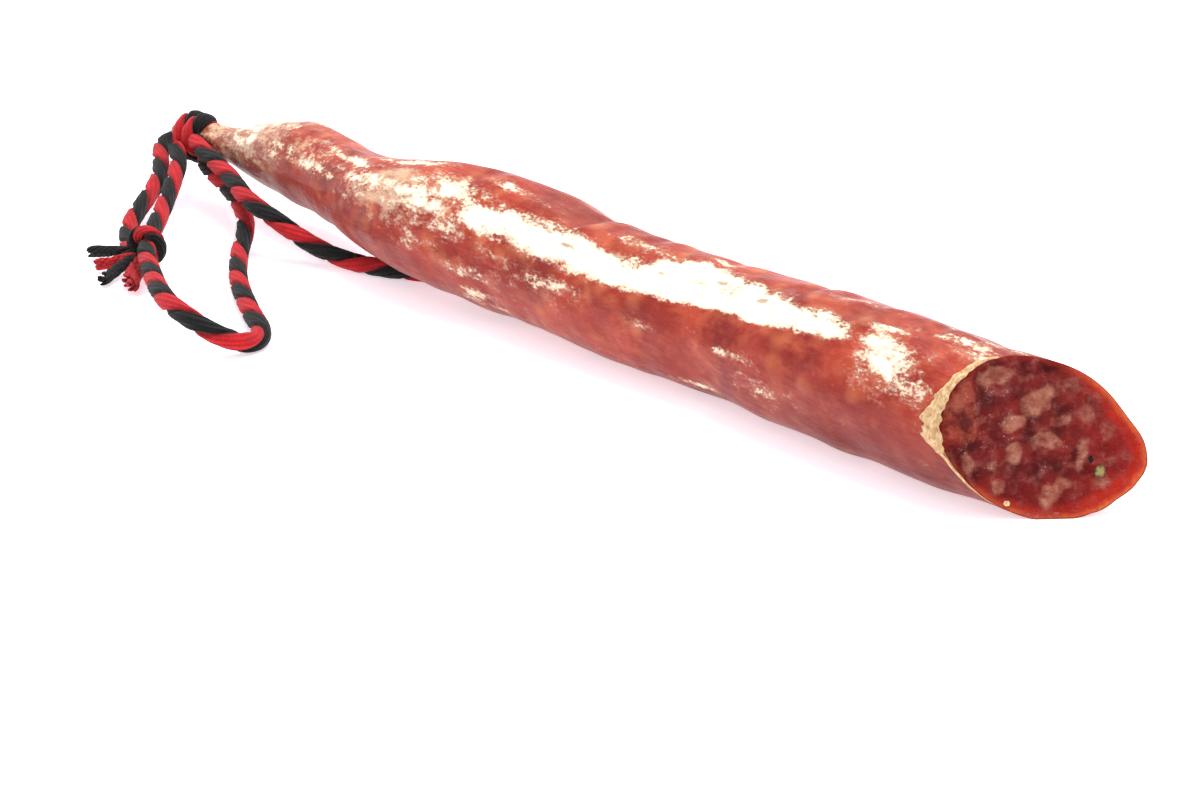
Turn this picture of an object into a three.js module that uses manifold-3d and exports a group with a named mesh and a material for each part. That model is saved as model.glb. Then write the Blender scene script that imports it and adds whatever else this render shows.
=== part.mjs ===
// A dry-cured sausage, cut on the slant at one end and tied at its neck with a two-colour cord.
// Millimetres, +Z up. The sausage lies along X, its neck at -X and its cut end at +X.
import * as THREE from 'three';
import Module from 'manifold-3d';
import { mergeVertices } from 'three/addons/utils/BufferGeometryUtils.js';

const wasm = await Module();
wasm.setup();

// Driving dimensions of the sausage.
const FOOT_DEPTH = 0.45;       // how deep the resting flat is worn into the round belly
const NECK_HEIGHT = 21.5;      // middle of the thin half above the surface, where it bows up
const NECK_DROOP = 2.2;        // how far the tied tip hangs below that
const RINGS = 80;
const SIDES = 40;
const CUT_TURN = 33.4;         // degrees that the cut is turned towards -Y
const CUT_LEAN = 18.2;         // degrees that the cut faces up
const CUT_AT = 181;            // where the cut crosses the middle of the sausage
const CUT_MIDDLE = { y: 4, z: 18 };

// Driving dimensions of the cord.
const CORD_DIAMETER = 4.8;
const CORD_RADIUS = CORD_DIAMETER / 2;
const CORD_SIDES = 10;
const PLY_RADIUS = 1.15;
const TOUCH_GAP = 0.35;

// Girth stations along the sausage: place along X, radius there.
const GIRTH = [
  [-195.0, 1.7], [-192, 2.3], [-186, 2.1], [-180, 2.4], [-172, 4.0], [-160, 6.2], [-140, 10.3],
  [-120, 12.6], [-100, 12.8], [-80, 13.0], [-60, 15.2], [-40, 17.8], [-20, 19.1], [0, 19.1],
  [20, 18.2], [50, 17.7], [80, 17.5], [110, 18.3], [140, 18.5], [170, 18.1], [210, 17.9],
];

// Sideways bends of the middle line: where, how far each reaches, how far it shifts towards +Y.
const STRAIGHT_Y = 1.9;
const BENDS = [
  { at: -132, reach: 38, shift: 3.6 },
  { at: -60, reach: 32, shift: -6.5 },
  { at: 80, reach: 20, shift: 1.8 },
  { at: 204, reach: 20, shift: 2.0 },
];

// Swells and hollows of the skin: place along X, angle round it from +Y, reaches, height.
const SWELLS = [
  { at: -116, angle: 98, reach: 20, spread: 40, rise: 0.9 },
  { at: -37, angle: 100, reach: 22, spread: 40, rise: 0.8 },
  { at: 23, angle: 86, reach: 7, spread: 34, rise: -0.7 },
  { at: 40, angle: 134, reach: 60, spread: 17, rise: -0.9 },
  { at: 96, angle: 176, reach: 55, spread: 30, rise: 0.6 },
  { at: 104, angle: 96, reach: 9, spread: 30, rise: -0.6 },
  { at: -50, angle: 172, reach: 34, spread: 16, rise: -0.8 },
];

function smoothStep(t) {
  const s = Math.min(1, Math.max(0, t));
  return s * s * (3 - 2 * s);
}

function bell(offset, reach) {
  return Math.exp(-((offset / reach) ** 2));
}

function middleY(x) {
  return BENDS.reduce((y, bend) => y + bend.shift * bell(x - bend.at, bend.reach), STRAIGHT_Y);
}

// The thick half lies on the surface, and the thin half bows up from it towards the neck.
function middleZ(x, radius) {
  const risen = smoothStep((40 - x) / 85);
  const drooped = NECK_HEIGHT - NECK_DROOP * smoothStep((-116 - x) / 75);
  return (1 - risen) * (radius - FOOT_DEPTH) + risen * drooped;
}

function swell(x, degrees) {
  return SWELLS.reduce((sum, s) => {
    const apart = ((degrees - s.angle + 540) % 360) - 180;
    return sum + s.rise * bell(x - s.at, s.reach) * bell(apart, s.spread);
  }, 0);
}

// manifold-3d only joins and cuts; the shapes are three.js geometries.
function toManifold(geometry) {
  const bare = geometry.clone();
  bare.deleteAttribute('normal');
  bare.deleteAttribute('uv');
  const merged = mergeVertices(bare, 1e-4);
  return new wasm.Manifold(new wasm.Mesh({
    numProp: 3,
    vertProperties: new Float32Array(merged.attributes.position.array),
    triVerts: new Uint32Array(merged.index.array),
  }));
}

function toGeometry(manifold) {
  const mesh = manifold.getMesh();
  const geometry = new THREE.BufferGeometry();
  geometry.setAttribute('position', new THREE.BufferAttribute(mesh.vertProperties, 3));
  geometry.setIndex(new THREE.BufferAttribute(mesh.triVerts, 1));
  geometry.computeVertexNormals();
  return geometry;
}

// A round profile turned about the axis, then bent, swollen, cut on the slant and flattened below.
function sausageGeometry() {
  const stations = GIRTH.map(([x, radius]) => new THREE.Vector2(radius, x));
  const skin = new THREE.SplineCurve(stations).getPoints(RINGS);
  const tip = new THREE.Vector2(0, GIRTH[0][0] - 1);
  const blind = new THREE.Vector2(0, GIRTH[GIRTH.length - 1][0]);
  const round = new THREE.LatheGeometry([tip, ...skin, blind], SIDES);
  const place = round.attributes.position;
  for (let i = 0; i < place.count; i += 1) {
    const x = place.getY(i);
    const radius = Math.hypot(place.getX(i), place.getZ(i));
    const angle = Math.atan2(place.getX(i), place.getZ(i));
    const full = radius > 0 ? radius + swell(x, THREE.MathUtils.radToDeg(angle)) : 0;
    const y = middleY(x) + full * Math.cos(angle);
    const ring = radius > 0 ? radius : GIRTH[0][1];
    const z = middleZ(x, ring) + full * Math.sin(angle);
    place.setXYZ(i, x, y, z);
  }
  const turn = THREE.MathUtils.degToRad(CUT_TURN);
  const lean = THREE.MathUtils.degToRad(CUT_LEAN);
  const facing = new THREE.Vector3(
    Math.cos(lean) * Math.cos(turn),
    -Math.cos(lean) * Math.sin(turn),
    Math.sin(lean),
  );
  const offset = facing.dot(new THREE.Vector3(CUT_AT, CUT_MIDDLE.y, CUT_MIDDLE.z));
  const whole = toManifold(round);
  const cut = whole.trimByPlane(facing.clone().negate().toArray(), -offset);
  return toGeometry(cut.trimByPlane([0, 0, 1], 0));
}

// A closed tube of the cord along hand-laid points.
function tubeGeometry(points, radius, sides, steps) {
  const path = new THREE.CatmullRomCurve3(points.map((p) => new THREE.Vector3(...p)));
  const section = new THREE.Shape();
  section.absarc(0, 0, radius, 0, Math.PI * 2);
  return new THREE.ExtrudeGeometry(section, {
    steps,
    curveSegments: sides / 2,
    extrudePath: path,
    bevelEnabled: false,
  });
}

// One turn of cord over the neck: an upright ring, leaned so that its front is nearer the cut end.
function turnGeometry({ x, y, z, inner, lean }) {
  const ring = new THREE.TorusGeometry(inner + TOUCH_GAP + CORD_RADIUS, CORD_RADIUS, 10, 22);
  ring.rotateY(Math.PI / 2);
  ring.rotateZ(THREE.MathUtils.degToRad(lean));
  ring.translate(x, y, z);
  return ring;
}

const NECK_TURNS = [
  { x: -180, y: 2.6, z: 19.3, inner: 2.9, lean: 10 },
  { x: -185.3, y: 2.5, z: 19.3, inner: 2.9, lean: 10 },
];

// The routes of the three free runs of the cord, from where each leaves the neck.
const TO_BELLY = [
  [-175.7, -2.7, 21.0], [-172, -4.0, 20.2], [-167.5, -5.3, 19.4], [-162, -6.8, 18.9],
  [-155, -8.4, 18.4], [-148, -10.2, 17.8], [-139.6, -12.4, 17.1], [-129.6, -15.8, 16.4],
  [-120, -19.0, 15.6], [-111.5, -20.2, 14.4], [-104.2, -19.2, 12.2], [-96.5, -17.6, 9.3],
  [-88, -15.2, 6.2], [-79, -11.6, 3.7], [-70, -8.0, 2.7], [-62, -4.6, 2.5],
  [-55, -0.6, 2.5], [-49, 4.4, 2.5], [-44, 9.6, 2.5],
];
const LOOP = [
  [-176.0, 0.4, 13.5], [-170.6, -1.8, 12.8], [-163, -4.4, 12.3], [-154, -7.0, 11.9],
  [-143, -10.0, 11.0], [-131, -14.0, 9.4], [-121, -18.8, 7.2], [-113, -24.6, 5.0],
  [-105.6, -31.0, 3.2], [-96, -37.6, 2.5], [-86, -44.0, 2.5], [-75, -50.0, 2.5],
  [-63.4, -55.6, 2.5], [-51, -61.2, 2.5], [-40.6, -65.6, 2.5], [-33.4, -70.6, 2.6],
  [-31.2, -77.0, 3.6], [-34.0, -83.0, 6.2], [-40.6, -86.6, 9.4], [-52, -87.0, 11.6],
  [-67, -81.6, 11.0], [-83.6, -73.8, 9.4], [-97, -67.2, 8.2], [-108.6, -61.4, 7.6],
  [-117.4, -55.8, 7.5], [-125, -50.4, 7.7], [-132, -44.6, 8.1], [-139.8, -38.0, 8.9],
  [-148, -31.0, 10.3], [-155.4, -24.6, 12.0], [-162.6, -18.4, 13.8], [-169.6, -13.0, 15.2],
  [-176.0, -9.3, 16.6], [-181.8, -6.7, 17.9],
];
const TO_KNOT = [
  [-189.3, 8.2, 18.2], [-193.8, 8.4, 17.2], [-198.2, 6.4, 16.0], [-200.0, 2.4, 15.0],
  [-198.0, -2.0, 14.2], [-192.4, -6.2, 13.2], [-185.0, -10.6, 12.0], [-177.0, -15.8, 10.8],
  [-169.6, -22.2, 9.4], [-163.0, -29.2, 7.8], [-157.0, -36.0, 6.2], [-151.2, -42.0, 4.8],
  [-145.0, -46.8, 3.7], [-137.6, -51.0, 3.0], [-130.6, -54.6, 2.7], [-125.5, -56.8, 3.0],
];

// The knot is a turn of the cord round the loop, with the plies of its ends frayed out.
const KNOT = { x: -117.4, y: -55.8, z: 7.5, heading: 145.5 };
const PLY_TAILS = [
  [[-119.6, -58.8, 5.2], [-124, -60.8, 5.0], [-130, -64.0, 4.4], [-135, -67.0, 3.6]],
  [[-119.4, -58.6, 4.4], [-121, -62.4, 3.6], [-123, -67.0, 2.6], [-124, -71.0, 2.0]],
  [[-118.8, -58.4, 4.0], [-117, -64.0, 3.6], [-112.8, -71.0, 2.6], [-108.4, -77.0, 1.8]],
  [[-118.4, -58.0, 3.8], [-114, -62.6, 2.8], [-108, -67.8, 1.9], [-102, -72.0, 1.6]],
  [[-118.0, -57.4, 3.6], [-111.4, -62.0, 2.6], [-103.6, -68.6, 1.8], [-96, -74.0, 1.5]],
];

function knotGeometry() {
  const ring = new THREE.TorusGeometry(2 * CORD_RADIUS + TOUCH_GAP - 0.4, 2.0, 10, 20);
  ring.rotateY(Math.PI / 2);
  ring.rotateZ(THREE.MathUtils.degToRad(KNOT.heading));
  ring.translate(KNOT.x, KNOT.y, KNOT.z);
  const tails = PLY_TAILS.map((points) => toManifold(tubeGeometry(points, PLY_RADIUS, 8, 6)));
  return toGeometry(tails.reduce((knot, tail) => knot.add(tail), toManifold(ring)));
}

function named(name, geometry, color, roughness) {
  const material = new THREE.MeshStandardMaterial({ color, roughness, metalness: 0 });
  const mesh = new THREE.Mesh(geometry, material);
  mesh.name = name;
  return mesh;
}

const sausage = new THREE.Group();
sausage.add(named('sausage', sausageGeometry(), 0xa5392f, 0.5));
NECK_TURNS.forEach((turn, i) => {
  sausage.add(named(`neck_turn_${i + 1}`, turnGeometry(turn), 0x8f1c20, 0.9));
});
sausage.add(named('cord_to_belly', tubeGeometry(TO_BELLY, CORD_RADIUS, CORD_SIDES, 16), 0x8f1c20, 0.9));
sausage.add(named('cord_loop', tubeGeometry(LOOP, CORD_RADIUS, CORD_SIDES, 34), 0x8f1c20, 0.9));
sausage.add(named('cord_to_knot', tubeGeometry(TO_KNOT, CORD_RADIUS, CORD_SIDES, 12), 0x8f1c20, 0.9));
sausage.add(named('loop_knot', knotGeometry(), 0x8f1c20, 0.9));

export default sausage;
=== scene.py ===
import math
import bpy
import numpy as np
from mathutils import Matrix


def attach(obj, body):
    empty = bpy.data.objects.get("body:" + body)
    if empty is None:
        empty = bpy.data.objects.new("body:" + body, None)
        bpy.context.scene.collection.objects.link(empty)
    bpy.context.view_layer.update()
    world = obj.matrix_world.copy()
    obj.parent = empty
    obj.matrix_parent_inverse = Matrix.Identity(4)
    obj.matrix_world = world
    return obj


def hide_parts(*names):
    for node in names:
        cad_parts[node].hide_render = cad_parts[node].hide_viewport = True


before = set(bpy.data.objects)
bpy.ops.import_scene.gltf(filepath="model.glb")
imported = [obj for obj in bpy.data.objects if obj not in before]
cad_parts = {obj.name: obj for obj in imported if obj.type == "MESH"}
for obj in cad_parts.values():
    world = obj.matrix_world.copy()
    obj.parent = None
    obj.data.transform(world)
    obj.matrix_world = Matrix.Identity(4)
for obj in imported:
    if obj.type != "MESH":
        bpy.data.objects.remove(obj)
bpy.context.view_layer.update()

# --- The table and the light ---
# A white table top, swept with soft daylight from above and a little behind, as food is shown.
# The table is a plain matt sheet that also glows faintly, as a light table: its glow lifts the shadows on it and
# lights the sausage from below; it is not part of the sausage.
scene = bpy.context.scene
scene.view_settings.view_transform = "Standard"


class Socket:
    """A shader socket that takes the sums of numbers and of other sockets."""

    def __init__(self, tree, out):
        self.tree, self.out = tree, out

    def math(self, operation, *values, clamp=False):
        node = self.tree.nodes.new("ShaderNodeMath")
        node.operation, node.use_clamp = operation, clamp
        for slot, value in zip(node.inputs, values):
            if isinstance(value, Socket):
                self.tree.links.new(value.out, slot)
            else:
                slot.default_value = value
        return Socket(self.tree, node.outputs[0])

    def __add__(self, other):
        return self.math("ADD", self, other)

    def __radd__(self, other):
        return self.math("ADD", other, self)

    def __sub__(self, other):
        return self.math("SUBTRACT", self, other)

    def __rsub__(self, other):
        return self.math("SUBTRACT", other, self)

    def __mul__(self, other):
        return self.math("MULTIPLY", self, other)

    def __rmul__(self, other):
        return self.math("MULTIPLY", other, self)

    def __pow__(self, other):
        return self.math("POWER", self, other)

    def step(self, low, high):
        """0 below low, 1 above high, and a straight slope between them."""
        return self.math("MULTIPLY", self - low, 1.0 / (high - low), clamp=True)

    def sine(self):
        return self.math("SINE", self)


class Finish:
    """A material under construction: its nodes are made by one method, its shader takes the results."""

    def __init__(self, name, **constants):
        self.material = bpy.data.materials.new(name)
        self.material.use_nodes = True
        self.tree = self.material.node_tree
        self.shader = self.tree.nodes["Principled BSDF"]
        for socket, value in constants.items():
            self.shader.inputs[socket.replace("_", " ")].default_value = value

    def node(self, kind, settings=None, output=0, **inputs):
        """Any node: its settings come first, then values or links; _3 is a socket by its number."""
        node = self.tree.nodes.new("ShaderNode" + kind)
        for setting, value in (settings or {}).items():
            setattr(node, setting, value)
        for name, value in inputs.items():
            slot = node.inputs[int(name[1:])] if name[0] == "_" else node.inputs[name.replace("_", " ")]
            if isinstance(value, Socket):
                self.tree.links.new(value.out, slot)
            else:
                slot.default_value = value
        return Socket(self.tree, node.outputs[output])

    def attribute(self, name):
        return self.node("Attribute", {"attribute_name": name}, "Fac")

    def blend(self, amount, first, second):
        """The first colour where amount is 0 and the second where it is 1."""
        return self.node("Mix", {"data_type": "RGBA"}, 2, _0=amount, _6=first, _7=second)

    def noise(self, where, scale, detail=4.0, rough=0.55):
        return self.node("TexNoise", None, 0, Vector=where, Scale=scale, Detail=detail, Roughness=rough)

    def place(self, stretch=(1, 1, 1)):
        """Object coordinates, stretched."""
        coords = self.node("TexCoord", None, "Object")
        return self.node("Mapping", None, 0, Vector=coords, Scale=stretch)

    def feed(self, **sockets):
        for name, value in sockets.items():
            self.tree.links.new(value.out, self.shader.inputs[name.replace("_", " ")])


def shape(name, points, faces, material, smooth=True, values=None, uv=None):
    """A mesh object at the origin from points in metres and a list of arrays of faces. Values are
    numbers held at the points, and uv is a place on the surface for each point."""
    mesh = bpy.data.meshes.new(name)
    mesh.from_pydata(points, [], [face for block in faces for face in block.tolist()])
    for key, array in (values or {}).items():
        held = mesh.attributes.new(key, "FLOAT", "POINT")
        held.data.foreach_set("value", np.asarray(array, np.float32).ravel())
    if uv is not None:
        corner = np.empty(len(mesh.loops), np.int32)
        mesh.loops.foreach_get("vertex_index", corner)
        mesh.uv_layers.new(name="lay").data.foreach_set("uv", uv[corner].astype(np.float32).ravel())
    if smooth:
        mesh.shade_smooth()
    mesh.update()
    mesh.materials.append(material)
    obj = bpy.data.objects.new(name, mesh)
    scene.collection.objects.link(obj)
    return obj


table_finish = Finish("white_table", Base_Color=(0.88, 0.85, 0.91, 1), Roughness=0.8,
                      Emission_Color=(1.0, 0.93, 0.98, 1), Emission_Strength=0.55)
corners = np.array([[-4, -4, 0], [4, -4, 0], [4, 4, 0], [-4, 4, 0]], float)
table = shape("table_top", corners, [np.array([[0, 1, 2, 3]])], table_finish.material)

world = bpy.data.worlds.new("daylight")
scene.world = world
world.use_nodes = True
sky = world.node_tree.nodes["Background"]
sky.inputs["Color"].default_value = (0.97, 0.98, 1.0, 1)
sky.inputs["Strength"].default_value = 1.0


def lamp(name, place, aim, size, watts):
    """A soft square lamp at a place, turned to face a point."""
    data = bpy.data.lights.new(name, "AREA")
    data.size, data.energy = size, watts
    obj = bpy.data.objects.new(name, data)
    obj.location = place
    ray = np.subtract(aim, place)
    ray = ray / np.linalg.norm(ray)
    obj.rotation_euler = (math.acos(-ray[2]), 0, math.atan2(ray[0], -ray[1]))
    scene.collection.objects.link(obj)


lamp("sky_panel", (-0.10, 0.35, 1.2), (0.0, 0.0, 0.0), 0.8, 19.0)
lamp("front_panel", (0.75, -0.65, 0.75), (0.05, 0.0, 0.02), 0.45, 2.5)

lens = bpy.data.cameras.new("camera")
lens.lens, lens.sensor_width = 75.0, 36.0
lens.clip_start, lens.clip_end = 0.01, 20.0
camera = bpy.data.objects.new("camera", lens)
camera.location = (0.52365, -0.41857, 0.22156)
camera.rotation_euler = (math.radians(70.0), 0.0, math.radians(49.83))
scene.collection.objects.link(camera)
scene.camera = camera

# --- The cord ---
# Butcher's cord, about 5 mm thick: one red and one black cotton ply laid round each other.
# One length goes round the neck, out in a loop, round its own strand in a knot, and behind the belly.
CORD = 0.0054  # across both plies
PITCH = 0.0270  # the length of one full turn of the plies
PLY_YARNS = 5  # yarns that show on each ply
YARN_RUN = 5.0  # how far the yarns run across their ply in one turn of the cord, counted in yarns
BELLY_START, LOOP_START, KNOT_START = 0.30, 0.10, 0.12  # how far round each free stretch begins, in turns
OFF_TABLE = 0.0001  # daylight under a stretch that lies on the table

# the three free stretches, each a row of points along the cord, written in millimetres
TO_BELLY = np.array([
    [-175.7, -2.7, 21.0], [-172, -4.0, 20.2], [-167.5, -5.3, 19.4], [-162, -6.8, 18.9],
    [-155, -8.4, 18.4], [-148, -10.2, 17.8], [-139.6, -12.4, 17.1], [-129.6, -15.8, 16.4],
    [-120, -19.0, 15.6], [-111.5, -20.2, 14.4], [-104.2, -19.2, 12.2], [-96.5, -17.6, 9.3],
    [-88, -15.2, 6.2], [-79, -11.6, 3.7], [-70, -8.0, 2.7], [-62, -4.6, 2.5],
    [-55, -0.6, 2.5], [-49, 4.4, 2.5], [-44, 9.6, 2.5]]) / 1000
LOOP = np.array([
    [-176.0, 0.4, 13.5], [-170.6, -1.8, 12.8], [-163, -4.4, 12.3], [-154, -7.0, 11.9],
    [-143, -10.0, 11.0], [-131, -14.0, 9.4], [-121, -18.8, 7.2], [-113, -24.6, 5.0],
    [-105.6, -31.0, 3.2], [-96, -37.6, 2.5], [-86, -44.0, 2.5], [-75, -50.0, 2.5],
    [-63.4, -55.6, 2.5], [-51, -61.2, 2.5], [-40.6, -65.6, 2.5], [-33.4, -70.6, 2.6],
    [-31.2, -77.0, 3.6], [-34.0, -83.0, 6.2], [-40.6, -86.6, 9.4], [-52, -87.0, 11.6],
    [-67, -81.6, 11.0], [-83.6, -73.8, 9.4], [-97, -67.2, 8.2], [-108.6, -61.4, 7.6],
    [-117.4, -55.8, 7.5], [-125, -50.4, 7.7], [-132, -44.6, 8.1], [-139.8, -38.0, 8.9],
    [-148, -31.0, 10.3], [-155.4, -24.6, 12.0], [-162.6, -18.4, 13.8], [-169.6, -13.0, 15.2],
    [-176.0, -9.3, 16.6], [-181.8, -6.7, 17.9]]) / 1000
TO_KNOT = np.array([
    [-189.3, 8.2, 18.2], [-193.8, 8.4, 17.2], [-198.2, 6.4, 16.0], [-200.0, 2.4, 15.0],
    [-198.0, -2.0, 14.2], [-192.4, -6.2, 13.2], [-185.0, -10.6, 12.0], [-177.0, -15.8, 10.8],
    [-169.6, -22.2, 9.4], [-163.0, -29.2, 7.8], [-157.0, -36.0, 6.2], [-151.2, -42.0, 4.8],
    [-145.0, -46.8, 3.7], [-137.6, -51.0, 3.0], [-130.6, -54.6, 2.7], [-125.5, -56.8, 3.0]]) / 1000


def curve(ends, count):
    """A curve through all of ends but the first and the last, which only steer it: each stretch is a cubic
    whose slope at a point follows its neighbours. It comes back as count points."""
    n = len(ends) - 2
    t = np.linspace(0, n - 1, count)
    i = np.minimum(t.astype(int), n - 2)
    f = (t - i)[:, None]
    a, b, c, d = ends[i], ends[i + 1], ends[i + 2], ends[i + 3]
    return 0.5 * (2 * b + (c - a) * f + (2 * a - 5 * b + 4 * c - d) * f**2 + (3 * b - a - 3 * c + d) * f**3)


def through(points, gap):
    """A curve through the points, read off again at even steps of about gap along its length."""
    ends = np.vstack([2 * points[0] - points[1], points, 2 * points[-1] - points[-2]])
    fine = curve(ends, 60 * len(points))
    run = np.concatenate([[0], np.cumsum(np.linalg.norm(np.diff(fine, axis=0), axis=1))])
    even = np.linspace(0, run[-1], int(run[-1] / gap) + 1)
    path = np.stack([np.interp(even, run, fine[:, k]) for k in range(3)], 1)
    path[:, 2] = np.maximum(path[:, 2], CORD / 2 + OFF_TABLE)
    return path


def across(path, closed=False, up=(0, 0, 1)):
    """Two directions square to the path at each of its points, from its tangent and a fixed up."""
    tangent = (np.roll(path, -1, 0) - np.roll(path, 1, 0)) if closed else np.gradient(path, axis=0)
    tangent /= np.linalg.norm(tangent, axis=1)[:, None]
    side = np.cross(tangent, up)
    side /= np.linalg.norm(side, axis=1)[:, None]
    return side, np.cross(side, tangent)


def grid(rows, columns, row_closed, caps=False):
    """Quads over a grid whose columns join up, and whose rows may; caps close each end on one more point."""
    r = np.arange(rows if row_closed else rows - 1)[:, None]
    c = np.arange(columns)[None, :]
    n, m = (r + 1) % rows, (c + 1) % columns
    quads = np.stack([r * columns + c, r * columns + m, n * columns + m, n * columns + c], -1).reshape(-1, 4)
    if not caps:
        return [quads]
    c = np.arange(columns)
    last = rows * columns
    first = np.stack([np.full(columns, last), (c + 1) % columns, c], 1)
    base = (rows - 1) * columns
    final = np.stack([np.full(columns, last + 1), base + c, base + (c + 1) % columns], 1)
    return [quads, first, final]


def laid_cord(name, path, material, closed=False, turns=None, start=0.0, up=(0, 0, 1), sides=40, thick=CORD):
    """A two-ply cord on a path. Its section is a circle of half the cord's thickness, pulled in where
    the plies meet, and the section turns once each pitch, or a whole number of turns on a ring.
    Each ply's outline also rises a little over each of its yarns, which run slowly across it."""
    side, top = across(path, closed, up)
    run = np.concatenate([[0], np.cumsum(np.linalg.norm(np.diff(path, axis=0), axis=1))])
    whole = run[-1] + (np.linalg.norm(path[0] - path[-1]) if closed else 0)
    twist = -run / whole * turns if turns else -run / PITCH
    u = np.arange(sides) / sides
    wind = -2 * np.pi * (twist[:, None] + start) + 2 * np.pi * u[None, :]
    seam = np.minimum((2 * u) % 1, 1 - (2 * u) % 1) / 2
    lobe = 1 - 0.30 * np.exp(-(seam / 0.045) ** 2)
    yarn = np.cos(2 * np.pi * (PLY_YARNS * 2 * u[None, :] - YARN_RUN * twist[:, None]))
    girth = thick / 2 * (1.03 * lobe[None, :] + 0.022 * yarn)
    if not closed:
        along = np.minimum(run, run[-1] - run) / (CORD / 2)
        girth = girth * np.sqrt(np.clip(1 - (1 - np.clip(along, 0, 1)) ** 2, 0.04, 1))[:, None]
    points = (path[:, None] + side[:, None] * (girth * np.cos(wind))[..., None]
              + top[:, None] * (girth * np.sin(wind))[..., None]).reshape(-1, 3)
    uv = np.stack(np.broadcast_arrays(u[None, :], twist[:, None]), -1).reshape(-1, 2)
    red = np.broadcast_to((np.where(u < 0.5, 1.0, 0.0))[None, :], (len(path), sides)).ravel()
    # painted shade: deep is nearness to the groove where the plies meet, which the finish darkens
    deep = np.broadcast_to(np.exp(-(seam / 0.05) ** 2)[None, :], (len(path), sides)).ravel()
    u_wave = np.broadcast_to((2 * PLY_YARNS * u)[None, :] - YARN_RUN * twist[:, None], (len(path), sides)).ravel()
    if not closed:
        points = np.vstack([points, path[0], path[-1]])
        red, deep, u_wave = (np.append(v, [v[0], v[-1]]) for v in (red, deep, u_wave))
        uv = np.vstack([uv, uv[0], uv[-1]])
    faces = grid(len(path), sides, closed, not closed)
    values = {"red_ply": red, "painted_ply_shade": deep, "yarn_wave": u_wave}
    return shape(name, points, faces, material, values=values, uv=uv)


cotton = Finish("cotton_cord", Roughness=0.92, Sheen_Weight=0.08, Sheen_Roughness=0.5,
                Specular_IOR_Level=0.25)
red_ply = cotton.attribute("red_ply").step(0.42, 0.58)
wave = (cotton.attribute("yarn_wave") * (2 * math.pi)).sine() * 0.5 + 0.5
fluff = cotton.noise(cotton.place(), 2600.0, 3.0)
tone = cotton.noise(cotton.place(), 160.0, 2.0)
# painted shade: the cord is darkened in the groove between its plies and between its yarns, besides a random tone
shaded = (1 - cotton.attribute("painted_ply_shade") * 0.55) * (0.80 + wave * 0.25) * (0.62 + tone * 0.7)
red_yarn = cotton.blend(fluff.step(0.35, 0.75), (0.42, 0.005, 0.010, 1), (0.64, 0.022, 0.028, 1))
black_yarn = cotton.blend(fluff.step(0.50, 0.85), (0.0035, 0.0038, 0.0038, 1), (0.026, 0.026, 0.024, 1))
dyed = cotton.blend(red_ply, black_yarn, red_yarn)
dyed = cotton.node("Mix", {"data_type": "RGBA", "blend_type": "MULTIPLY"}, 2, _0=1.0, _6=dyed,
                   _7=cotton.node("CombineColor", None, 0, Red=shaded, Green=shaded, Blue=shaded))
raised = cotton.node("Bump", None, 0, Strength=0.75, Distance=0.0006, Height=wave * 0.6 + fluff * 0.7)
cotton.feed(Base_Color=dyed, Normal=raised)

belly_path, loop_path, knot_path = (through(p, 0.00055) for p in (TO_BELLY, LOOP, TO_KNOT))
to_belly = laid_cord("cord_to_belly_laid", belly_path, cotton.material, start=BELLY_START)
loop = laid_cord("cord_loop_laid", loop_path, cotton.material, start=LOOP_START)
to_knot = laid_cord("cord_to_knot_laid", knot_path, cotton.material, start=KNOT_START)
for piece, node in ((to_belly, "cord_to_belly"), (loop, "cord_loop"), (to_knot, "cord_to_knot")):
    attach(piece, "root")
    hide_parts(node)

# --- The two turns over the neck ---
# The cord bites into the pinched neck in two turns, side by side, pulled tight round the dried casing.
# They are the same two-ply cord; each closes on itself behind the neck.

# in millimetres: half the neck's thickness, the room round it, and half the thickness of the CAD's cord
NECK, ROOM, HALF_CORD = 2.9, 0.35, 2.4
TURN_LEAN = math.radians(10)


def neck_turn(name, x, y, z, start):
    """A closed ring of cord: a circle across the neck's line, leaned round the upright."""
    angle = np.linspace(0, 2 * np.pi, 72, endpoint=False)
    reach = (NECK + ROOM + HALF_CORD) / 1000
    lean = TURN_LEAN
    ring = np.stack([-np.sin(lean) * np.cos(angle), np.cos(lean) * np.cos(angle), np.sin(angle)], 1) * reach
    path = ring + np.array([x, y, z]) / 1000
    hub = (math.cos(lean), math.sin(lean), 0)
    return laid_cord(name, path, cotton.material, True, 2, start, hub)


turn_1 = neck_turn("neck_turn_1_laid", -180.0, 2.6, 19.3, 0.12)
turn_2 = neck_turn("neck_turn_2_laid", -185.3, 2.5, 19.3, 0.10)
for piece, node in ((turn_1, "neck_turn_1"), (turn_2, "neck_turn_2")):
    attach(piece, "root")
    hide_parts(node)

# --- The knot and its frayed ends ---
# The cord's end is tied once round its own strand; past the knot the plies are let go, and each is
# a loose bundle of cotton yarns, cut off and fluffed at the tip.
KNOT = np.array([-117.4, -55.8, 7.5]) / 1000
KNOT_HEADING = math.radians(145.5)
along = np.array([math.cos(KNOT_HEADING), math.sin(KNOT_HEADING), 0])
beside = np.array([-math.sin(KNOT_HEADING), math.cos(KNOT_HEADING), 0])
angle = np.linspace(0, 2 * np.pi, 72, endpoint=False)[:, None]
upright = np.array([0, 0, 1.0])
wrap_path = KNOT + beside * 0.0003 + 0.00400 * (beside * np.cos(angle) + upright * np.sin(angle))
wrap_path = wrap_path + along * (0.0006 * np.sin(angle) + 0.0026 * np.cos(angle))
knot_wrap = laid_cord("loop_knot_wrap", wrap_path, cotton.material, True, 2, 0.85, tuple(along), 40, 0.0042)

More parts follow.
